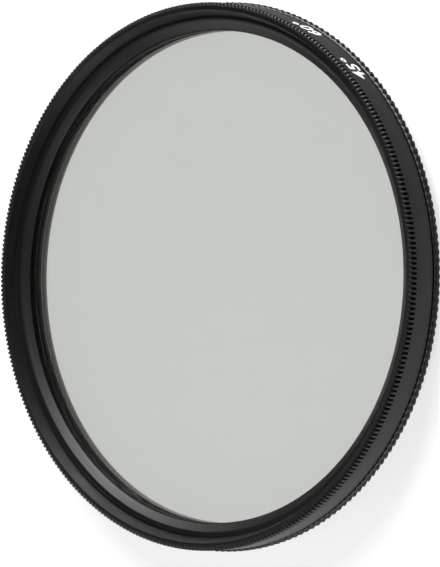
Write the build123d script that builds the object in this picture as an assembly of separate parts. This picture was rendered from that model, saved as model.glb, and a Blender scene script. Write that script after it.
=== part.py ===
from build123d import *
import os
from math import atan, cos, degrees, pi, sin

# A circular polarising filter that screws into the front of a camera lens.
# Two turned aluminium rings share one axis: the mount ring screws into the lens, and the grip ring
# turns on it without end, held by a split spring wire. The grip ring carries the polariser, two films
# cemented between two glass discs, which a threaded retaining ring clamps against a lip.
# Millimetres. The filter lies on its rear thread, with +Z out of its front and the origin under its centre.

# Thread of the lens: the rear stub screws into it. The thread is a plain cylinder here, under size by
# the allowance of a loose fit.
thread_diameter = 67.0
thread_allowance = 0.02

# Mount ring: a thread stub under a knurled flange, with one bore right through for the grip ring's barrel
stub_length = 1.5
stub_chamfer = 0.2
flange_thickness = 1.0
flange_overhang = 0.33

# Grip ring: a smooth band whose front edge is notched all round. Its mouth is as wide as the lens thread
# and opens forwards in a bevel.
bevel_depth = 1.42
bevel_width = 0.55
rim_wall = 0.4
relief_height = 0.13
ring_gap = 0.25

# Straight knurls, each a crown of V teeth that runs out on a turned chamfer
grip_knurl_teeth = 358
grip_knurl_depth = 0.55
grip_knurl_length = 0.75
grip_knurl_step = 0.03
grip_chamfer_height = 0.2
mount_knurl_teeth = 220
mount_knurl_depth = 0.36
mount_chamfer_height = 0.2

# Retaining ring: a land, a slope and a steep edge, from its thread inwards
retainer_height = 1.68
retainer_step = 0.4
retainer_sink = 0.07
retainer_play = 0.03
land_width = 0.42
land_drop = 0.14
slope_width = 0.98
slope_drop = 0.68
edge_width = 0.12
edge_drop = 0.3

# Glass cell in the grip ring
shoulder_width = 0.9
shoulder_drop = 0.1
lip_width = 0.53
lip_thickness = 1.05
barrel_wall = 0.45
barrel_recess = 0.2
glass_play = 0.05
glass_thickness = 1.0
film_thickness = 0.1
film_margin = 0.2

# Turning joint: the barrel runs in the flange, with the spring wire half in a groove of each
running_clearance = 0.05
wire_width = 0.4
wire_play = 0.02
wire_gap_angle = 10.0

# Radii, worked out from the thread
stub_radius = thread_diameter / 2 - thread_allowance
mouth_radius = thread_diameter / 2
bevel_radius = mouth_radius + bevel_width
grip_root_radius = bevel_radius + rim_wall
grip_crest_radius = grip_root_radius + grip_knurl_depth
band_radius = grip_crest_radius + grip_knurl_step
mount_crest_radius = grip_crest_radius + flange_overhang
mount_root_radius = mount_crest_radius - mount_knurl_depth
retainer_thread_radius = mouth_radius - retainer_step
retainer_radius = retainer_thread_radius - retainer_play
land_radius = retainer_radius - land_width
slope_radius = land_radius - slope_width
retainer_bore_radius = slope_radius - edge_width
cell_radius = retainer_thread_radius - shoulder_width
glass_radius = cell_radius - glass_play
film_radius = glass_radius - film_margin
lip_radius = cell_radius - lip_width
barrel_radius = cell_radius + barrel_wall
mount_bore_radius = barrel_radius + running_clearance
wire_ring_radius = mount_bore_radius
mount_groove_radius = wire_ring_radius + wire_width / 2 + wire_play
barrel_groove_radius = wire_ring_radius - wire_width / 2 - running_clearance

# Heights, stacked up from the resting plane
flange_z = stub_length
flange_top_z = flange_z + flange_thickness
barrel_z = barrel_recess
lip_z = barrel_z + lip_thickness
rear_glass_top_z = lip_z + glass_thickness
quarter_wave_top_z = rear_glass_top_z + film_thickness
polariser_top_z = quarter_wave_top_z + film_thickness
front_glass_top_z = polariser_top_z + glass_thickness
shoulder_z = front_glass_top_z - shoulder_drop
retainer_top_z = front_glass_top_z + retainer_height
land_z = retainer_top_z - land_drop
slope_z = land_z - slope_drop
edge_z = slope_z - edge_drop
step_z = retainer_top_z + retainer_sink
bevel_z = step_z + relief_height
front_z = bevel_z + bevel_depth
grip_knurl_z = front_z - grip_knurl_length
grip_ring_z = flange_top_z + ring_gap
wire_z = (flange_z + flange_top_z) / 2
groove_z = wire_z - wire_width / 2 - wire_play
groove_top_z = wire_z + wire_width / 2 + wire_play


def turned(*corners):
    """A ring turned about Z from its half section, whose corners are radius and height pairs."""
    outline = Polyline(*[(radius, 0, height) for radius, height in corners], close=True)
    return revolve(make_face(outline), Axis.Z, 360)


def tube(inner, outer, bottom, top):
    """A plain ring of rectangular section."""
    return turned((inner, bottom), (outer, bottom), (outer, top), (inner, top))


def disc(radius, bottom, top):
    """A flat round plate."""
    return extrude(Pos(0, 0, bottom) * Circle(radius), top - bottom)


def knurl(teeth, root_radius, crest_radius, bore_radius, bottom, top):
    """A straight knurl: a crown whose outline zigzags between root and crest, with a round bore."""
    half_pitch = pi / teeth
    zigzag = []
    for tooth in range(teeth):
        crest_angle = 2 * tooth * half_pitch
        root_angle = crest_angle + half_pitch
        zigzag.append((crest_radius * cos(crest_angle), crest_radius * sin(crest_angle)))
        zigzag.append((root_radius * cos(root_angle), root_radius * sin(root_angle)))
    crown = make_face(Polyline(*zigzag, close=True)) - Circle(bore_radius)
    return extrude(Pos(0, 0, bottom) * crown, top - bottom)


def knurl_chamfer(teeth, root_radius, crest_radius, height):
    """Waste of a chamfer over a knurl's upper end, at Z 0, with one facet to a tooth.

    The facets rise inwards from the crests, height below the end, to meet the roots at the end.
    """
    foot_radius = root_radius * cos(pi / teeth)
    lean = (crest_radius - foot_radius) / height
    reach = 2 * height
    facets = RegularPolygon(foot_radius + lean * reach, teeth, major_radius=False, rotation=180 / teeth)
    kept = extrude(Pos(0, 0, -reach) * facets, reach + height / 2, taper=degrees(atan(lean)))
    blank = extrude(Pos(0, 0, -reach) * Circle(foot_radius + 2 * lean * reach), reach + height / 2)
    return blank - kept


def mount_ring():
    """Rear ring: the knurled flange, its wire groove and the thread stub below it."""
    flange = knurl(
        mount_knurl_teeth, mount_root_radius, mount_crest_radius, mount_bore_radius, flange_z, flange_top_z
    )
    waste = knurl_chamfer(mount_knurl_teeth, mount_root_radius, mount_crest_radius, mount_chamfer_height)
    flange -= Pos(0, 0, flange_top_z) * waste
    flange -= Pos(0, 0, flange_z) * Rot(180, 0, 0) * waste
    stub = turned(
        (mount_bore_radius, 0),
        (stub_radius - stub_chamfer, 0),
        (stub_radius, stub_chamfer),
        (stub_radius, flange_z),
        (mount_bore_radius, flange_z),
    )
    wire_groove = tube(barrel_radius, mount_groove_radius, groove_z, groove_top_z)
    return flange + stub - wire_groove


def grip_ring():
    """Front ring: bevelled mouth, notched edge, glass cell with its lip, and the grooved barrel."""
    core_radius = (bevel_radius + grip_root_radius) / 2
    turning = turned(
        (bevel_radius, front_z),
        (core_radius, front_z),
        (core_radius, grip_knurl_z),
        (band_radius, grip_knurl_z),
        (band_radius, grip_ring_z),
        (barrel_radius, grip_ring_z),
        (barrel_radius, groove_top_z),
        (barrel_groove_radius, groove_top_z),
        (barrel_groove_radius, groove_z),
        (barrel_radius, groove_z),
        (barrel_radius, barrel_z),
        (lip_radius, barrel_z),
        (lip_radius, lip_z),
        (cell_radius, lip_z),
        (cell_radius, shoulder_z),
        (retainer_thread_radius, shoulder_z),
        (retainer_thread_radius, step_z),
        (mouth_radius, step_z),
        (mouth_radius, bevel_z),
    )
    inside_core = (bevel_radius + core_radius) / 2
    crown = knurl(grip_knurl_teeth, grip_root_radius, grip_crest_radius, inside_core, grip_knurl_z, front_z)
    waste = knurl_chamfer(grip_knurl_teeth, grip_root_radius, grip_crest_radius, grip_chamfer_height)
    return turning + crown - Pos(0, 0, front_z) * waste


def retaining_ring():
    """Threaded ring that clamps the glass, its front falling inwards from a land to a slope and an edge."""
    return turned(
        (retainer_bore_radius, front_glass_top_z),
        (retainer_radius, front_glass_top_z),
        (retainer_radius, retainer_top_z),
        (land_radius, land_z),
        (slope_radius, slope_z),
        (retainer_bore_radius, edge_z),
    )


def spring_wire():
    """Split spring of square wire, open by a small angle so that it can be pinched into its groove."""
    inner_radius = wire_ring_radius - wire_width / 2
    outer_radius = wire_ring_radius + wire_width / 2
    bottom_z = wire_z - wire_width / 2
    top_z = wire_z + wire_width / 2
    section = make_face(Polyline(
        (inner_radius, 0, bottom_z), (outer_radius, 0, bottom_z), (outer_radius, 0, top_z), (inner_radius, 0, top_z),
        close=True,
    ))
    return Rot(0, 0, wire_gap_angle / 2) * revolve(section, Axis.Z, 360 - wire_gap_angle)


pieces = {
    "mount_ring": mount_ring(),
    "spring_wire": spring_wire(),
    "grip_ring": grip_ring(),
    "rear_glass": disc(glass_radius, lip_z, rear_glass_top_z),
    "quarter_wave_film": disc(film_radius, rear_glass_top_z, quarter_wave_top_z),
    "polarising_film": disc(film_radius, quarter_wave_top_z, polariser_top_z),
    "front_glass": disc(glass_radius, polariser_top_z, front_glass_top_z),
    "glass_retaining_ring": retaining_ring(),
}

os.makedirs("parts", exist_ok=True)
for name, piece in pieces.items():
    export_step(piece, f"parts/{name}.step")
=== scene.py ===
# %% [markdown]
# # A circular polarising lens filter
# Two black anodised rings turn on each other, and the front one carries a disc of grey polarising glass.
# Everything on it is round, and the rings are turned on a lathe, so nearly every piece here is one idea:
# a section, given as radius and height, carried round the axis. The knurls and the thread are that same
# surface with its radius changed by a formula of the angle and the height.

import bpy
import numpy as np
from mathutils import Matrix, Vector


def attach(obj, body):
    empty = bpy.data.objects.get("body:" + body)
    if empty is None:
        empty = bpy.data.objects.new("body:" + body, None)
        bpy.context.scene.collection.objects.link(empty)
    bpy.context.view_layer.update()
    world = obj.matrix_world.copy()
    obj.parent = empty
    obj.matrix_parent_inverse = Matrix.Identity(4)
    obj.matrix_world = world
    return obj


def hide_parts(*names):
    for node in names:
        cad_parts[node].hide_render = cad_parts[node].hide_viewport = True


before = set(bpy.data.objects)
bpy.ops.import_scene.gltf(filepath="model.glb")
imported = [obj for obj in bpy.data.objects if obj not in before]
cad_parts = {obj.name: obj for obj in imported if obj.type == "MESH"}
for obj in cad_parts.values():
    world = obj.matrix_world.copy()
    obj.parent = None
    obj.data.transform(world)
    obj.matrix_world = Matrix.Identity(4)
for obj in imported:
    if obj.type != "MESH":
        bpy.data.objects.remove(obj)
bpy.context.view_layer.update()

MM = 0.001

# %% [markdown]
# ## The camera
# A long lens from about 45 cm shows the filter from its front, turned so that the outer band shows on the
# right. The place was solved from the ellipses of the front rim in the photograph: a circle seen at a
# slant is an ellipse, and its shape and drift give the slant and the distance. The numbers below are that
# solution. Writing the view as a matrix keeps the roll, which a track-to constraint would lose.

# %% Camera
FRONT_HEIGHT = 6.75
PIXELS_TALL = 567
PIXELS_WIDE = 440
FOCAL_PIXELS = 3523.7
SENSOR = 36.0
RIM_DISTANCE = 450.0
RIM_PIXEL = (195.71, 276.28)
SLANT = np.radians(40.92)
SWING = np.radians(181.09)

axis_in_view = np.array([np.sin(SLANT) * np.cos(SWING), np.sin(SLANT) * np.sin(SWING), -np.cos(SLANT)])
right_in_view = np.cross(axis_in_view, [0, 1, 0])
right_in_view /= np.linalg.norm(right_in_view)
up_in_view = np.cross(axis_in_view, right_in_view)
to_view = np.column_stack([right_in_view, up_in_view, axis_in_view])
rim_in_view = RIM_DISTANCE * np.array([
    (RIM_PIXEL[0] - PIXELS_WIDE / 2) / FOCAL_PIXELS,
    (RIM_PIXEL[1] - PIXELS_TALL / 2) / FOCAL_PIXELS,
    1.0,
])
eye = -to_view.T @ (rim_in_view - FRONT_HEIGHT * axis_in_view)

camera_data = bpy.data.cameras.new("camera")
camera_data.sensor_width = SENSOR
camera_data.lens = FOCAL_PIXELS / PIXELS_TALL * SENSOR
camera_data.clip_start = 0.01
camera = bpy.data.objects.new("camera", camera_data)
turn = np.column_stack([to_view.T @ [1, 0, 0], to_view.T @ [0, -1, 0], to_view.T @ [0, 0, -1]])
camera.matrix_world = Matrix.Translation(Vector(eye * MM)) @ Matrix(turn.tolist()).to_4x4()
bpy.context.collection.objects.link(camera)
bpy.context.scene.camera = camera
bpy.context.scene.view_settings.view_transform = "Standard"
print("camera at", np.round(eye, 1), "mm, lens", round(camera_data.lens, 1), "mm")

# %% [markdown]
# ## A section and its ring
# A turned ring is a closed section swept round the axis. The section is a table of corners, and each
# corner says how much it is rounded and how many rows the run after it gets. Rounded edges matter: a real
# edge always catches a thread of light, and a perfectly sharp one looks like a drawing. A Bezier arc per
# corner is enough, and the whole table is worked out at once.

# %% Section helper
SAME_POINT = 1e-6


def rounded_section(corners, arc_points=4):
    """Points of a closed section, from rows of radius, height, rounding and rows.

    Each corner becomes the arc (1-t)^2 a + 2t(1-t) c + t^2 b between the points a and b that lie its
    rounding before and after the corner c. The straight run that follows is then cut into the stated
    number of rows.
    """
    table = np.array(corners, dtype=float)
    corner = table[:, None, :2]
    back = np.roll(corner, 1, axis=0) - corner
    ahead = np.roll(corner, -1, axis=0) - corner
    cut = table[:, None, 2:3]
    start = corner + cut * back / np.linalg.norm(back, axis=2, keepdims=True)
    end = corner + cut * ahead / np.linalg.norm(ahead, axis=2, keepdims=True)
    t = np.linspace(0, 1, arc_points)[None, :, None]
    arcs = (1 - t) ** 2 * start + 2 * t * (1 - t) * corner + t ** 2 * end
    parts = np.ones((len(table), arc_points), dtype=int)
    parts[:, -1] = table[:, 3]
    points = arcs.reshape(-1, 2)
    parts = parts.ravel()
    run = np.roll(points, -1, axis=0) - points
    distinct = (np.linalg.norm(run, axis=1) > SAME_POINT) | (parts > 1)
    points, parts = points[distinct], parts[distinct]
    run = np.roll(points, -1, axis=0) - points
    owner = np.repeat(np.arange(len(points)), parts)
    step = np.arange(parts.sum()) - np.repeat(np.cumsum(parts) - parts, parts)
    return points[owner] + run[owner] * (step / parts[owner])[:, None]


# %% [markdown]
# ## From a grid of points to a mesh
# The ring is a grid that closes both ways, like a torus: rows along the section, columns round the axis.
# The faces are found from index arithmetic on the whole grid. Each face corner also gets a UV, the turn
# in U and the length along the section in V, so that the finish can follow the lathe's marks. foreach_set
# hands over the arrays in one go, which is far faster than adding faces one at a time.

# %% Mesh helpers
TURNING = "turning"


def mesh_object(name, points, corners, starts, uv, crease):
    """Object from point, face corner and face start arrays. Edges past crease degrees stay sharp."""
    mesh = bpy.data.meshes.new(name)
    mesh.vertices.add(len(points))
    mesh.vertices.foreach_set("co", (points * MM).astype(np.float32).ravel())
    mesh.loops.add(len(corners))
    mesh.loops.foreach_set("vertex_index", corners.astype(np.int32))
    mesh.polygons.add(len(starts))
    mesh.polygons.foreach_set("loop_start", starts.astype(np.int32))
    mesh.polygons.foreach_set("use_smooth", np.ones(len(starts), dtype=bool))
    mesh.uv_layers.new(name=TURNING).data.foreach_set("uv", uv.astype(np.float32).ravel())
    mesh.update(calc_edges=True)
    mesh.validate()
    mesh.set_sharp_from_angle(angle=np.radians(crease))
    piece = bpy.data.objects.new(name, mesh)
    bpy.context.collection.objects.link(piece)
    return piece


def grid_points(radius, height, angle):
    """Points of a grid of rows and columns: x = radius cos(angle), y = radius sin(angle), z = height."""
    radius, height, angle = np.broadcast_arrays(radius, height, angle)
    return np.stack([radius * np.cos(angle), radius * np.sin(angle), height], axis=-1)


def grid_quads(rows, columns, bands):
    """Point numbers of the quads in the first bands, each of which joins a row to the next one."""
    row = np.arange(bands)[:, None]
    column = np.arange(columns)[None, :]
    next_row = (row + 1) % rows
    next_column = (column + 1) % columns
    return np.stack([
        row * columns + column,
        row * columns + next_column,
        next_row * columns + next_column,
        next_row * columns + column,
    ], axis=-1)


def ring_object(name, radius, height, angle, crease=35):
    """Ring from grids of radius, height and angle, closed round the axis and round its section."""
    grid = grid_points(radius, height, angle)
    rows, columns = grid.shape[:2]
    middle = np.stack([np.mean(radius, axis=1), np.mean(height, axis=1)], axis=1)
    length = np.linalg.norm(np.roll(middle, -1, axis=0) - middle, axis=1)
    along = np.concatenate([[0], np.cumsum(length)])
    u = np.arange(columns)[None, :] / columns + np.zeros((rows, 1))
    v = along[:-1, None] + np.zeros(columns)
    next_u = u + 1 / columns
    next_v = along[1:, None] + np.zeros(columns)
    uv = np.stack([
        np.stack([u, v], axis=-1),
        np.stack([next_u, v], axis=-1),
        np.stack([next_u, next_v], axis=-1),
        np.stack([u, next_v], axis=-1),
    ], axis=2)
    starts = 4 * np.arange(rows * columns)
    corners = grid_quads(rows, columns, rows).reshape(-1)
    return mesh_object(name, grid.reshape(-1, 3), corners, starts, uv, crease)


# %% [markdown]
# ## Straight knurls
# A knurl is a row of teeth round a ring for the fingers. The front ring's edge is cut by short V notches
# whose floor sweeps up at the back, where the cutter left. The rear ring has rounder teeth, about three
# for every five in front. Both are chamfered, which is why each tooth ends in a small bright facet.
# Modelling teeth one by one and joining them would be slow, so the tooth is a function of the angle and
# the chamfer a function of the height, and the smaller of the two wins, as it does when the lathe tool
# cuts the corner off.

# %% Knurl helpers
def tooth_columns(teeth, samples):
    """Angles round the ring, with the given places in each pitch, where 0 is the middle of a crest."""
    places = np.arange(teeth)[:, None] + np.array(samples)[None, :]
    return 2 * np.pi * places.ravel() / teeth


def knurled(base, height, tooth, depth, slopes):
    """Radius of a knurled wall: base plus depth times tooth, cut down to each slope.

    A slope is a height, the radius there, and how far the radius grows for each millimetre from there.
    """
    radius = base + depth * tooth
    for foot, foot_radius, growth in slopes:
        radius = np.minimum(radius, foot_radius + np.abs(height - foot) * growth)
    return radius


# %% [markdown]
# ## Screw thread
# The stub screws into the lens on a fine thread with a pitch of 0.75 mm. A thread is a triangle wave in
# height that slides up by one pitch for each turn, so it is written as exactly that. The wave fades out
# at both ends of the wall, where a real thread has its lead-in.

# %% Thread helper
THREAD_PITCH = 0.75


def thread_wave(height, angle, low, high, lead):
    """Depth of a right-hand thread, 0 to 1: a triangle wave of (height / pitch - turn), faded over lead."""
    phase = (height / THREAD_PITCH - angle / (2 * np.pi)) % 1.0
    wave = 1 - np.abs(2 * phase - 1)
    fade = np.clip((height - low) / lead, 0, 1) * np.clip((high - height) / lead, 0, 1)
    return wave * fade


# %% [markdown]
# ## The grip ring
# The front ring, which the photographer turns. From outside: a smooth band with its front edge notched.
# Inside: a steep bevel, a sharp relief groove at its foot that shows as one black line, a narrow step,
# the wall that holds the retaining ring, and the cell with a lip under the glass. The hidden barrel at
# the back has the groove for the spring wire. One section table holds it all, in millimetres.

# %% Grip ring
GRIP_TEETH = 358
GRIP_TOOTH_SAMPLES = (-0.2, 0.2, 0.45, 0.55)
GRIP_TOOTH = (1.0, 1.0, 0.0, 0.0)
GRIP_ROOT = 34.55
GRIP_DEPTH = 0.47
GRIP_KNURL_FOOT = 5.93
GRIP_RUN_OUT = 0.14
GRIP_CHAMFER = 0.12
BAND_RADIUS = 35.03
BAND_LOW = 2.75
BEVEL_RADIUS = 34.05
BEVEL_FOOT = (33.52, 5.36)
RELIEF_BOTTOM = (33.62, 5.28)
STEP_RADIUS = 33.46
STEP_HEIGHT = 5.20
RETAINER_WALL = 33.10
SHOULDER_HEIGHT = 3.35
CELL_RADIUS = 32.20
LIP_RADIUS = 31.67
LIP_HEIGHT = 1.25
BARREL_RADIUS = 32.65
BARREL_LOW = 0.20
BARREL_GROOVE = 32.45
GROOVE_LOW = 1.78
GROOVE_HIGH = 2.22

grip_section = rounded_section([
    (LIP_RADIUS, BARREL_LOW, 0.05, 1),
    (BARREL_RADIUS, BARREL_LOW, 0.05, 1),
    (BARREL_RADIUS, GROOVE_LOW, 0, 1),
    (BARREL_GROOVE, GROOVE_LOW, 0, 1),
    (BARREL_GROOVE, GROOVE_HIGH, 0, 1),
    (BARREL_RADIUS, GROOVE_HIGH, 0, 1),
    (BARREL_RADIUS, BAND_LOW, 0, 1),
    (BAND_RADIUS, BAND_LOW, 0.08, 1),
    (BAND_RADIUS, GRIP_KNURL_FOOT, 0.02, 1),
    (GRIP_ROOT, GRIP_KNURL_FOOT, 0, 9),
    (GRIP_ROOT, FRONT_HEIGHT, 0, 1),
    (BEVEL_RADIUS, FRONT_HEIGHT, 0.04, 2),
    (*BEVEL_FOOT, 0.02, 1),
    (*RELIEF_BOTTOM, 0, 1),
    (STEP_RADIUS, STEP_HEIGHT, 0.02, 1),
    (RETAINER_WALL, STEP_HEIGHT, 0.03, 1),
    (RETAINER_WALL, SHOULDER_HEIGHT, 0, 1),
    (CELL_RADIUS, SHOULDER_HEIGHT, 0, 1),
    (CELL_RADIUS, LIP_HEIGHT, 0, 1),
    (LIP_RADIUS, LIP_HEIGHT, 0.03, 1),
])
grip_angle = tooth_columns(GRIP_TEETH, GRIP_TOOTH_SAMPLES)
grip_height = grip_section[:, 1:2]
grip_radius = grip_section[:, 0:1] + 0 * grip_angle
on_knurl = np.isclose(grip_section[:, 0], GRIP_ROOT)
sweep = np.clip(1 - (grip_height[on_knurl] - GRIP_KNURL_FOOT) / GRIP_RUN_OUT, 0, 1)
grip_tooth = np.maximum(np.tile(GRIP_TOOTH, GRIP_TEETH), sweep ** 2)
grip_slopes = [(FRONT_HEIGHT, GRIP_ROOT, GRIP_DEPTH / GRIP_CHAMFER)]
grip_radius[on_knurl] = knurled(GRIP_ROOT, grip_height[on_knurl], grip_tooth, GRIP_DEPTH, grip_slopes)
grip_ring = ring_object("grip_ring_turned", grip_radius, grip_height, grip_angle)
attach(grip_ring, "grip")
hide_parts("grip_ring")
print("grip ring", len(grip_section), "rows", len(grip_angle), "columns")

# %% [markdown]
# ## The mount ring
# The rear ring stays still on the lens. Its flange has the coarser knurl, chamfered in front and behind,
# and the stub below carries the lens thread. It is the same recipe with another table, a rounder tooth
# and an outside thread, whose wave cuts into the wall.

# %% Mount ring
MOUNT_TEETH = 220
MOUNT_TOOTH_SAMPLES = (-0.17, 0.0, 0.17, 0.33, 0.5, 0.67)
MOUNT_TOOTH = (0.93, 1.0, 0.93, 0.6, 0.15, 0.6)
MOUNT_ROOT = 35.03
MOUNT_DEPTH = 0.3
MOUNT_CHAMFER = 0.2
MOUNT_BORE = 32.70
MOUNT_GROOVE = 32.92
FLANGE_LOW = 1.5
FLANGE_HIGH = 2.5
STUB_RADIUS = 33.48
STUB_CHAMFER = 0.2
THREAD_DEPTH = 0.36
THREAD_LEAD = 0.12

mount_section = rounded_section([
    (MOUNT_BORE, 0, 0.05, 1),
    (STUB_RADIUS - STUB_CHAMFER, 0, 0.02, 1),
    (STUB_RADIUS, STUB_CHAMFER, 0, 18),
    (STUB_RADIUS, FLANGE_LOW, 0, 1),
    (MOUNT_ROOT, FLANGE_LOW, 0, 10),
    (MOUNT_ROOT, FLANGE_HIGH, 0, 1),
    (MOUNT_BORE, FLANGE_HIGH, 0.04, 1),
    (MOUNT_BORE, GROOVE_HIGH, 0, 1),
    (MOUNT_GROOVE, GROOVE_HIGH, 0, 1),
    (MOUNT_GROOVE, GROOVE_LOW, 0, 1),
    (MOUNT_BORE, GROOVE_LOW, 0, 1),
])
mount_angle = tooth_columns(MOUNT_TEETH, MOUNT_TOOTH_SAMPLES)
mount_tooth = np.tile(MOUNT_TOOTH, MOUNT_TEETH)
mount_height = mount_section[:, 1:2]
mount_radius = mount_section[:, 0:1] + 0 * mount_angle
on_knurl = np.isclose(mount_section[:, 0], MOUNT_ROOT)
mount_slopes = [(end, MOUNT_ROOT, MOUNT_DEPTH / MOUNT_CHAMFER) for end in (FLANGE_HIGH, FLANGE_LOW)]
mount_radius[on_knurl] = knurled(MOUNT_ROOT, mount_height[on_knurl], mount_tooth, MOUNT_DEPTH, mount_slopes)
on_thread = np.isclose(mount_section[:, 0], STUB_RADIUS)
mount_radius[on_thread] -= THREAD_DEPTH * thread_wave(
    mount_height[on_thread], mount_angle, STUB_CHAMFER, FLANGE_LOW, THREAD_LEAD
)
mount_ring = ring_object("mount_ring_turned", mount_radius, mount_height, mount_angle)
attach(mount_ring, "mount")
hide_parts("mount_ring")
print("mount ring", len(mount_section), "rows", len(mount_angle), "columns")

# %% [markdown]
# ## The retaining ring
# A ring screws down on the glass. Its front falls inwards in three steps: a dark land beside the thread,
# a slope that takes the light as one pale strip, and a steep edge over the glass.

# %% Retaining ring
RETAINER_COLUMNS = 720
RETAINER_BORE = 31.55
RETAINER_RADIUS = 33.07
RETAINER_FOOT = 3.453
RETAINER_TOP = 5.13
LAND_END = (32.65, 4.99)
SLOPE_END = (31.67, 4.31)
EDGE_END = 4.01


def even_turn(columns):
    """Angles of a full turn in even steps."""
    return 2 * np.pi * np.arange(columns) / columns


retainer_section = rounded_section([
    (RETAINER_BORE, RETAINER_FOOT, 0.02, 1),
    (RETAINER_RADIUS, RETAINER_FOOT, 0, 1),
    (RETAINER_RADIUS, RETAINER_TOP, 0.04, 2),
    (*LAND_END, 0.05, 4),
    (*SLOPE_END, 0.05, 2),
    (RETAINER_BORE, EDGE_END, 0.04, 3),
])
retainer_radius = retainer_section[:, 0:1]
retainer_height = retainer_section[:, 1:2]
retainer_angle = even_turn(RETAINER_COLUMNS)
retainer = ring_object("glass_retaining_ring_turned", retainer_radius, retainer_height, retainer_angle)
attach(retainer, "grip")
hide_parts("glass_retaining_ring")
print("retaining ring", len(retainer_section), "rows")

# %% [markdown]
# ## The glass and the films
# The polariser is a sandwich: a grey polarising film and a clear quarter-wave film, cemented between two
# glass discs. Each is a flat disc with ground edges, stacked up from the lip. Faces that share exactly
# one plane confuse a ray tracer, so a few thousandths of a millimetre of cement line are left between
# them.

# %% Discs
CEMENT = 0.004
DISC_COLUMNS = 256
GLASS_RADIUS = 32.15
GLASS_THICKNESS = 1.0
GLASS_CHAMFER = 0.12
FILM_RADIUS = 31.95
FILM_THICKNESS = 0.1
FILM_CHAMFER = 0.01


def capped_object(name, radius, height, angle, crease):
    """Tube or disc from grids of radius, height and angle, with a flat face on its first and last rows."""
    grid = grid_points(radius, height, angle)
    rows, columns = grid.shape[:2]
    quads = (rows - 1) * columns
    first = np.arange(columns)[::-1]
    last = quads + np.arange(columns)
    corners = np.concatenate([grid_quads(rows, columns, rows - 1).ravel(), last, first])
    starts = np.concatenate([4 * np.arange(quads), 4 * quads + columns * np.arange(2)])
    points = grid.reshape(-1, 3)
    reach = np.abs(points[:, :2]).max()
    uv = points[corners][:, :2] / (2 * reach) + 0.5
    return mesh_object(name, points, corners, starts, uv, crease)


def disc_object(name, radius, low, high, edge):
    """Disc with chamfered rims: four circles, from the lower face round the rim to the upper face."""
    low, high = low + CEMENT, high - CEMENT
    circle_radius = np.array([radius - edge, radius, radius, radius - edge])[:, None]
    circle_height = np.array([low, low + edge, high - edge, high])[:, None]
    return capped_object(name, circle_radius, circle_height, even_turn(DISC_COLUMNS), crease=20)


glass_stack = {
    "rear_glass": (GLASS_RADIUS, GLASS_THICKNESS, GLASS_CHAMFER, "optical_glass"),
    "quarter_wave_film": (FILM_RADIUS, FILM_THICKNESS, FILM_CHAMFER, "clear_retarder_film"),
    "polarising_film": (FILM_RADIUS, FILM_THICKNESS, FILM_CHAMFER, "grey_polarising_film"),
    "front_glass": (GLASS_RADIUS, GLASS_THICKNESS, GLASS_CHAMFER, "optical_glass"),
}
discs = {}
low = LIP_HEIGHT
for node, (radius, thickness, edge, slot) in glass_stack.items():
    discs[node] = disc_object(node + "_disc", radius, low, low + thickness, edge)
    low += thickness
    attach(discs[node], "grip")
    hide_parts(node)
print("discs", list(discs))

# %% [markdown]
# ## The spring wire
# Hidden between the rings, a split ring of round wire sits half in a groove of each, so that one turns on
# the other and neither comes off. It is a tube along an arc, whose thickness runs to nothing at both ends
# as a half circle does, which closes it with round tips.

# %% Spring wire
WIRE_RADIUS = 0.2
WIRE_ARC = MOUNT_BORE
WIRE_HEIGHT = (GROOVE_LOW + GROOVE_HIGH) / 2
WIRE_OPENING = np.radians(10)
WIRE_SIDES = 12
WIRE_STATIONS = 361
TIP_STATIONS = 7
TIP_POINT = 1e-6

tip = np.linspace(0, 1, TIP_STATIONS)[:, None]
tip_scale = np.sqrt(np.clip(1 - (1 - tip) ** 2, TIP_POINT, 1))
tip_turn = tip * WIRE_RADIUS / WIRE_ARC
wire_start = WIRE_OPENING / 2
wire_end = 2 * np.pi - WIRE_OPENING / 2
middle = np.linspace(wire_start + tip_turn[-1, 0], wire_end - tip_turn[-1, 0], WIRE_STATIONS)[1:-1, None]
wire_turn = np.concatenate([wire_start + tip_turn, middle, wire_end - tip_turn[::-1]])
wire_scale = np.concatenate([tip_scale, np.ones_like(middle), tip_scale[::-1]])
# Clockwise round the wire, so that its faces point outwards
round_wire = -even_turn(WIRE_SIDES)
wire_radius = WIRE_ARC + WIRE_RADIUS * wire_scale * np.cos(round_wire)
wire_height = WIRE_HEIGHT + WIRE_RADIUS * wire_scale * np.sin(round_wire)
spring = capped_object("spring_wire_round", wire_radius, wire_height, wire_turn, crease=60)
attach(spring, "mount")
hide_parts("spring_wire")
print("spring wire", len(wire_turn), "stations")

# %% [markdown]
# ## Numbers on the band
# Such rings carry white figures on the band. These are plain angles for the turning ring, 15 degrees
# apart, with their tops towards the front. Text is first made a flat mesh, and then its plane is rolled
# round the band: the reading direction becomes the angle, the letter height stays a height and the
# thickness of the paint adds to the radius.

# %% Numbers
NUMBER_SIZE = 2.9
NUMBER_FOOT = 3.35
NUMBER_WEIGHT = 0.05
NUMBER_ANGLES = {"45": 47.5, "60": 62.5}
PAINT = 0.03


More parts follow.
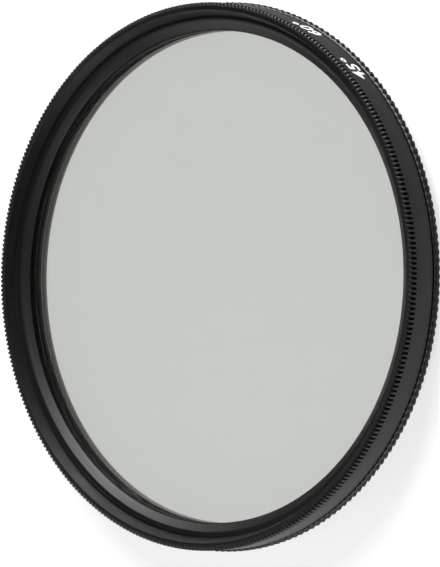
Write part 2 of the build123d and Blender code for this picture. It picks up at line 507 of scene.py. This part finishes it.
def band_number(text, angle):
    """Text rolled round the band: turn = angle + x / radius, radius = band + z, height = foot + y."""
    curve = bpy.data.curves.new("number", "FONT")
    curve.body = text
    curve.size = NUMBER_SIZE
    curve.align_x = "CENTER"
    curve.offset = NUMBER_WEIGHT
    curve.extrude = PAINT / 2
    flat = bpy.data.objects.new("number_flat", curve)
    bpy.context.collection.objects.link(flat)
    mesh = bpy.data.meshes.new_from_object(flat.evaluated_get(bpy.context.evaluated_depsgraph_get()))
    bpy.data.objects.remove(flat)
    place = np.zeros(3 * len(mesh.vertices), dtype=np.float32)
    mesh.vertices.foreach_get("co", place)
    x, y, z = place.reshape(-1, 3).T
    turn = np.radians(angle) + x / BAND_RADIUS
    radius = BAND_RADIUS + PAINT / 2 + z
    rolled = np.stack([radius * np.cos(turn), radius * np.sin(turn), NUMBER_FOOT + y], axis=1)
    mesh.vertices.foreach_set("co", (rolled * MM).astype(np.float32).ravel())
    mesh.update()
    return mesh


numbers = {}
for text, angle in NUMBER_ANGLES.items():
    numbers[text] = bpy.data.objects.new("angle_number_" + text, band_number(text + "°", angle))
    bpy.context.collection.objects.link(numbers[text])
    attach(numbers[text], "grip")
print("numbers", list(numbers))

# %% [markdown]
# ## Helpers for the finishes
# A finish is a small network of nodes that feeds one main shader. The same few steps come up in each of
# them: a place on the object, a noise, a sum, a range stretched to another, a mix of two values. Wiring
# each by hand hides what the network says. Written once as functions that give back a socket, the steps
# read as a formula.

# %% Finish helpers
def new_finish(name):
    """New material, with its node tree and its main shader."""
    material = bpy.data.materials.new(name)
    material.use_nodes = True
    return material, material.node_tree, material.node_tree.nodes["Principled BSDF"]


def feed(tree, socket, value):
    """Links a socket to another one, or sets it to a plain value."""
    if isinstance(value, bpy.types.NodeSocket):
        tree.links.new(value, socket)
    else:
        socket.default_value = value


def object_place(tree):
    """Socket of the place on the object, in metres."""
    return tree.nodes.new("ShaderNodeTexCoord").outputs["Object"]


def axes_of(tree, vector):
    """Sockets X, Y and Z of a vector."""
    node = tree.nodes.new("ShaderNodeSeparateXYZ")
    tree.links.new(vector, node.inputs[0])
    return node.outputs


def calculated(tree, kind, operation, *values):
    """Socket of a Math or VectorMath operation on sockets and numbers. A LENGTH is a number."""
    node = tree.nodes.new("ShaderNode" + kind)
    node.operation = operation
    for socket, value in zip(node.inputs, values):
        feed(tree, socket, value)
    return node.outputs["Value" if kind == "Math" or operation == "LENGTH" else "Vector"]


def noise(tree, place, scale, detail=2.0):
    """Socket of a noise from 0 to 1 over a place, with about scale blotches to each unit of it."""
    node = tree.nodes.new("ShaderNodeTexNoise")
    node.inputs["Scale"].default_value = scale
    node.inputs["Detail"].default_value = detail
    tree.links.new(place, node.inputs["Vector"])
    return node.outputs["Fac"]


def ramp(tree, value, source, target, shape="LINEAR"):
    """Socket that runs through the target range while value runs through the source range."""
    node = tree.nodes.new("ShaderNodeMapRange")
    node.interpolation_type = shape
    for name, number in zip(("From Min", "From Max", "To Min", "To Max"), (*source, *target)):
        node.inputs[name].default_value = number
    tree.links.new(value, node.inputs["Value"])
    return node.outputs["Result"]


def mixed(tree, factor, first, second, kind="RGBA"):
    """Socket of first + factor (second - first), for two colours or two numbers."""
    node = tree.nodes.new("ShaderNodeMix")
    node.data_type = kind
    feed(tree, node.inputs["A"], first)
    feed(tree, node.inputs["B"], second)
    tree.links.new(factor, node.inputs["Factor"])
    return node.outputs["Result"]


def opaque(tone, share=1):
    """Colour with full alpha, from a share of a tone."""
    return (*[share * value for value in tone], 1)


def dress(piece, material):
    """Gives the piece this one material."""
    piece.data.materials.clear()
    piece.data.materials.append(material)


# %% [markdown]
# ## Black anodised aluminium
# Anodising grows a hard clear oxide on the aluminium and dyes it black, so it is a dark satin surface
# with a soft sheen, not a mirror. Under it are the lathe's marks, which run round the ring: they stretch
# highlights across the marks. The shader gets that as anisotropy along U, and a noise that is slow round
# the ring and quick along the section varies the roughness and the tone, as real turning does.

# %% Anodised finish
ROUND_GRAIN = 60.0
MARK_DETAIL = 3.0
MARK_RANGE = (0.3, 0.7)
MARK_STRENGTH = 0.25
MARK_DEPTH = 0.02
ROUGHNESS_SPREAD = 0.07
TONE_SPREAD = 0.3
STREAK = 0.5


def anodised(name, tone, roughness, grain, sheen):
    """Black oxide with turned grain: a noise of (x, y, length along the section) drives the finish."""
    material, tree, shader = new_finish(name)
    shader.inputs["Specular IOR Level"].default_value = sheen
    shader.inputs["Anisotropic"].default_value = STREAK
    tangent = tree.nodes.new("ShaderNodeTangent")
    tangent.direction_type = "UV_MAP"
    tangent.uv_map = TURNING
    tree.links.new(tangent.outputs["Tangent"], shader.inputs["Tangent"])

    section = tree.nodes.new("ShaderNodeUVMap")
    section.uv_map = TURNING
    place = axes_of(tree, object_place(tree))
    lathe = tree.nodes.new("ShaderNodeCombineXYZ")
    tree.links.new(place["X"], lathe.inputs["X"])
    tree.links.new(place["Y"], lathe.inputs["Y"])
    tree.links.new(axes_of(tree, section.outputs["UV"])["Y"], lathe.inputs["Z"])
    scale = (ROUND_GRAIN, ROUND_GRAIN, grain)
    stretched = calculated(tree, "VectorMath", "MULTIPLY", lathe.outputs[0], scale)
    marks = noise(tree, stretched, 1.0, MARK_DETAIL)

    rough = ramp(tree, marks, MARK_RANGE, (roughness - ROUGHNESS_SPREAD, roughness + ROUGHNESS_SPREAD))
    tree.links.new(rough, shader.inputs["Roughness"])
    dye = mixed(tree, marks, opaque(tone, 1 - TONE_SPREAD), opaque(tone, 1 + TONE_SPREAD))
    tree.links.new(dye, shader.inputs["Base Color"])
    bump = tree.nodes.new("ShaderNodeBump")
    bump.inputs["Strength"].default_value = MARK_STRENGTH
    bump.inputs["Distance"].default_value = MARK_DEPTH * MM
    tree.links.new(marks, bump.inputs["Height"])
    tree.links.new(bump.outputs["Normal"], shader.inputs["Normal"])
    return material


# %% [markdown]
# ## Zones with another finish
# Some places of the rings are given another finish: tips of the teeth that are worn towards bare metal, a
# seat under the glass painted pale as painted light, which stands in for the light that reaches it from
# behind through the glass, and an inner edge of the retaining ring painted dull black against stray light,
# which is also painted shade on that inward face. They could be pieces of their own, but a zone that mixes
# its values in by radius and height leaves the ring whole.

# %% Rings
BLACK_DYE = (0.005, 0.005, 0.0055)
RETAINER_DYE = (0.004, 0.004, 0.0045)
WORN = {"Base Color": (0.07, 0.07, 0.072, 1), "Metallic": 1}
# Painted light: a pale seat under the glass that stands in for the light reaching it from behind
SEAT_PAINTED_LIGHT = {"Base Color": (0.75, 0.75, 0.73, 1)}
# Dull black paint on the retaining ring's inner edge, which is also painted shade on that inward face
DULL_BLACK_AND_PAINTED_SHADE = {"Base Color": (0.002, 0.002, 0.002, 1), "Specular IOR Level": 0.08}
TIP_INSET = 0.01
TIP_MARGIN = 0.1
MOUNT_TIP_RADII = (35.04, 35.17)
MOUNT_TIP_HEIGHTS = (FLANGE_HIGH - MOUNT_CHAMFER + TIP_INSET, FLANGE_HIGH + TIP_MARGIN)
GRIP_TIP_RADII = (34.85, 36)
GRIP_TIP_HEIGHTS = (FRONT_HEIGHT - GRIP_CHAMFER + TIP_INSET, FRONT_HEIGHT + TIP_MARGIN)
SEAT_RADII = (31.6, 32.25)
SEAT_HEIGHTS = (1.22, 1.28)
INNER_EDGE_RADII = (31, 31.69)
INNER_EDGE_HEIGHTS = (3.4, 4.34)


def zone(material, radii, heights, values):
    """Another finish within a range of radius and height: the product of two tests mixes its values in."""
    tree = material.node_tree
    shader = tree.nodes["Principled BSDF"]
    place = object_place(tree)
    across = calculated(tree, "VectorMath", "MULTIPLY", place, (1, 1, 0))
    radius = calculated(tree, "VectorMath", "LENGTH", across)
    height = axes_of(tree, place)["Z"]
    tests = []
    for value, (low, high) in ((radius, radii), (height, heights)):
        middle = (low + high) / 2 * MM
        reach = (high - low) / 2 * MM
        tests.append(calculated(tree, "Math", "COMPARE", value, middle, reach))
    inside = calculated(tree, "Math", "MULTIPLY", *tests)
    for name, value in values.items():
        target = shader.inputs[name]
        before = target.links[0].from_socket if target.is_linked else target.default_value
        kind = "RGBA" if name == "Base Color" else "FLOAT"
        tree.links.new(mixed(tree, inside, before, value, kind), target)


mount_finish = anodised("mount_black_anodise", BLACK_DYE, roughness=0.42, grain=14.0, sheen=0.26)
zone(mount_finish, MOUNT_TIP_RADII, MOUNT_TIP_HEIGHTS, WORN)
grip_finish = anodised("grip_black_anodise", BLACK_DYE, roughness=0.44, grain=14.0, sheen=0.35)
zone(grip_finish, GRIP_TIP_RADII, GRIP_TIP_HEIGHTS, WORN)
zone(grip_finish, SEAT_RADII, SEAT_HEIGHTS, SEAT_PAINTED_LIGHT)
retainer_finish = anodised("retainer_black_anodise", RETAINER_DYE, roughness=0.37, grain=18.0, sheen=0.46)
zone(retainer_finish, INNER_EDGE_RADII, INNER_EDGE_HEIGHTS, DULL_BLACK_AND_PAINTED_SHADE)
dress(mount_ring, mount_finish)
dress(grip_ring, grip_finish)
dress(retainer, retainer_finish)
print("rings dressed")

# %% [markdown]
# ## Glass, films and wire
# Optical glass is clear and barely green, and light bends in it, which is why the lip behind looks closer
# than it is. The grey of the filter is all in the polarising film, whose tint counts twice, once for each
# of its faces. The films are cemented in, so they have no surface of their own to reflect: their index is
# 1. The hidden wire is bright drawn steel.

# %% Clear finishes and steel
HAZE_SCALE = 30.0
GLASS_INDEX = 1.52
CEMENTED_INDEX = 1.0
GLASS_TINT = (0.985, 0.995, 0.985)
POLARISER_TINT = (0.77, 0.779, 0.757)
RETARDER_TINT = (0.97, 0.97, 0.955)
STEEL = (0.45, 0.45, 0.46)
STEEL_ROUGHNESS = (0.25, 0.45)
DRAWN_SCALE = 900.0


def clear(name, tint, index, cloud):
    """See-through finish whose tint varies over the disc, by the share cloud."""
    material, tree, shader = new_finish(name)
    shader.inputs["Transmission Weight"].default_value = 1.0
    shader.inputs["IOR"].default_value = index
    shader.inputs["Roughness"].default_value = 0.0
    haze = noise(tree, object_place(tree), HAZE_SCALE)
    tree.links.new(mixed(tree, haze, opaque(tint, 1 - cloud), opaque(tint)), shader.inputs["Base Color"])
    return material


optical_glass = clear("coated_optical_glass", GLASS_TINT, GLASS_INDEX, cloud=0.004)
dress(discs["front_glass"], optical_glass)
dress(discs["rear_glass"], optical_glass)
dress(discs["polarising_film"], clear("grey_polarising_film", POLARISER_TINT, CEMENTED_INDEX, cloud=0.01))
dress(discs["quarter_wave_film"], clear("clear_retarder_film", RETARDER_TINT, CEMENTED_INDEX, cloud=0.01))
wire_steel, wire_tree, wire_shader = new_finish("drawn_spring_steel")
wire_shader.inputs["Metallic"].default_value = 1.0
wire_shader.inputs["Base Color"].default_value = opaque(STEEL)
wire_marks = noise(wire_tree, object_place(wire_tree), DRAWN_SCALE)
wire_tree.links.new(ramp(wire_tree, wire_marks, (0, 1), STEEL_ROUGHNESS), wire_shader.inputs["Roughness"])
dress(spring, wire_steel)
print("glass, films and wire dressed")

# %% [markdown]
# ## White enamel
# The figures are a thin layer of white enamel, a satin paint with a faint mottle.

# %% Enamel
ENAMEL_DARK = (0.82, 0.82, 0.81)
ENAMEL_PALE = (0.92, 0.92, 0.91)
MOTTLE_SCALE = 4000.0

enamel, enamel_tree, enamel_shader = new_finish("white_enamel")
enamel_shader.inputs["Roughness"].default_value = 0.5
mottle = noise(enamel_tree, object_place(enamel_tree), MOTTLE_SCALE)
enamel_tone = mixed(enamel_tree, mottle, opaque(ENAMEL_DARK), opaque(ENAMEL_PALE))
enamel_tree.links.new(enamel_tone, enamel_shader.inputs["Base Color"])
for number in numbers.values():
    dress(number, enamel)
print("numbers dressed")

# %% [markdown]
# ## Floor and white background
# The photograph has a pure white ground with one soft shadow under the ring. The floor is a pale grey
# matt surface that takes the shadow, and what the lamps leave short of white is added for rays from the
# camera. The ground behind the glass gets more of it, since the lamps light it only through the filter,
# and so does the ground far away, which the lamps hardly reach. Black metal mirrors the ground too, and
# the level that rays from the metal see fades out towards +Y: a painted reflection that makes the band
# lighter below than above. The light path tells all these rays apart, so the levels are only seen, and no
# matt surface is lit by them.

# %% Floor
FLOOR_HALF = 3.0
FLOOR_CORNERS = ((-1, -1), (1, -1), (1, 1), (-1, 1))
FLOOR_TONE = (0.6, 0.6, 0.6)
PAINTED_REFLECTION_LOW = -0.022
PAINTED_REFLECTION_HIGH = 0.012
NEAR_GROUND = 0.12
FAR_GROUND = 0.5


def seen_level(tree, direct, through, mirrored):
    """Socket of the level that a ray sees, which is 0 for rays from a matt surface.

    Rays from the camera see direct, which grows to 1 from the near to the far ground. Rays bent by the
    glass see through. Rays that metal mirrors see mirrored, which fades out towards +Y as a painted
    reflection.
    """
    path = tree.nodes.new("ShaderNodeLightPath").outputs
    place = object_place(tree)
    reach = calculated(tree, "VectorMath", "LENGTH", place)
    spread = ramp(tree, reach, (NEAR_GROUND, FAR_GROUND), (direct, 1.0), "SMOOTHSTEP")
    # Painted reflection: the level that metal mirrors fades out towards +Y, so the band looks lighter below
    fade = ramp(tree, axes_of(tree, place)["Y"], (PAINTED_REFLECTION_LOW, PAINTED_REFLECTION_HIGH), (mirrored, 0.0))
    # Rays bent by the glass count as glossy too, so they are taken off
    bounced = calculated(tree, "Math", "SUBTRACT", path["Is Glossy Ray"], path["Is Transmission Ray"])
    bounced = calculated(tree, "Math", "MAXIMUM", bounced, 0.0)
    level = calculated(tree, "Math", "MULTIPLY", path["Is Camera Ray"], spread)
    level = calculated(tree, "Math", "MULTIPLY_ADD", path["Is Transmission Ray"], through, level)
    return calculated(tree, "Math", "MULTIPLY_ADD", bounced, fade, level)


floor_mesh = bpy.data.meshes.new("floor")
floor_mesh.from_pydata([(x * FLOOR_HALF, y * FLOOR_HALF, 0) for x, y in FLOOR_CORNERS], [], [(0, 1, 2, 3)])
floor = bpy.data.objects.new("floor", floor_mesh)
bpy.context.collection.objects.link(floor)
floor_paint, floor_tree, floor_shader = new_finish("white_floor")
floor_shader.inputs["Base Color"].default_value = opaque(FLOOR_TONE)
floor_shader.inputs["Roughness"].default_value = 0.9
floor_shader.inputs["Specular IOR Level"].default_value = 0.0
floor_shader.inputs["Emission Color"].default_value = (1, 1, 1, 1)
floor_glow = seen_level(floor_tree, direct=0.62, through=0.77, mirrored=0.72)
floor_tree.links.new(floor_glow, floor_shader.inputs["Emission Strength"])
dress(floor, floor_paint)
print("floor", 2 * FLOOR_HALF, "m wide")

# %% [markdown]
# ## Studio light
# Soft lamps all round, as in a light tent. Two over the top of the picture are the strongest: the high
# one puts the pale patch on the retaining ring, the low one the patch on the bevel. Weaker ones below and
# on the left keep the other side from going black. Black metal shows little else than its lamps, so each
# was placed by the patch that it makes: the lamp stands where the surface there would mirror it. A faint
# disc of light on the ground under the glass lights the lip from behind, as a white table does.

# %% Lights and world
LAMP_WIDTH = 248
LAMPS = {
    "top_high": ((-20, 313, 249), 1.3),
    "top_low": ((40, 382, 113), 1.28),
    "top_left": ((-160, 320, 180), 0.25),
    "bottom_low": ((20, -386, 104), 0.40),
    "bottom_high": ((119, -298, 239), 0.60),
    "left": ((-301, -181, 193), 0.28),
}
GLOW_PLACE = (0, 0, 0.1)
GLOW_WIDTH = 63.2
GLOW_POWER = 0.02
FACING_UP = (np.pi, 0, 0)
ROOM_LEVEL = 0.02


def soft_lamp(name, place, width, power):
    """Round area lamp at place, in millimetres, turned to face the filter, with its power in watts."""
    data = bpy.data.lights.new(name, "AREA")
    data.shape = "DISK"
    data.size = width * MM
    data.energy = power
    lamp = bpy.data.objects.new(name, data)
    lamp.rotation_euler = (-Vector(place)).to_track_quat("-Z", "Y").to_euler()
    lamp.location = Vector(place) * MM
    lamp.visible_camera = False
    bpy.context.collection.objects.link(lamp)
    return lamp


for name, (place, power) in LAMPS.items():
    soft_lamp(name, place, LAMP_WIDTH, power)
ground_glow = soft_lamp("ground_glow", GLOW_PLACE, GLOW_WIDTH, GLOW_POWER)
ground_glow.rotation_euler = FACING_UP
ground_glow.visible_transmission = False

world = bpy.data.worlds.new("studio")
world.use_nodes = True
bpy.context.scene.world = world
backdrop = world.node_tree.nodes["Background"]
backdrop.inputs["Color"].default_value = (1, 1, 1, 1)
backdrop_level = seen_level(world.node_tree, direct=1.0, through=1.0, mirrored=0.0)
room_level = calculated(world.node_tree, "Math", "ADD", backdrop_level, ROOM_LEVEL)
world.node_tree.links.new(room_level, backdrop.inputs["Strength"])
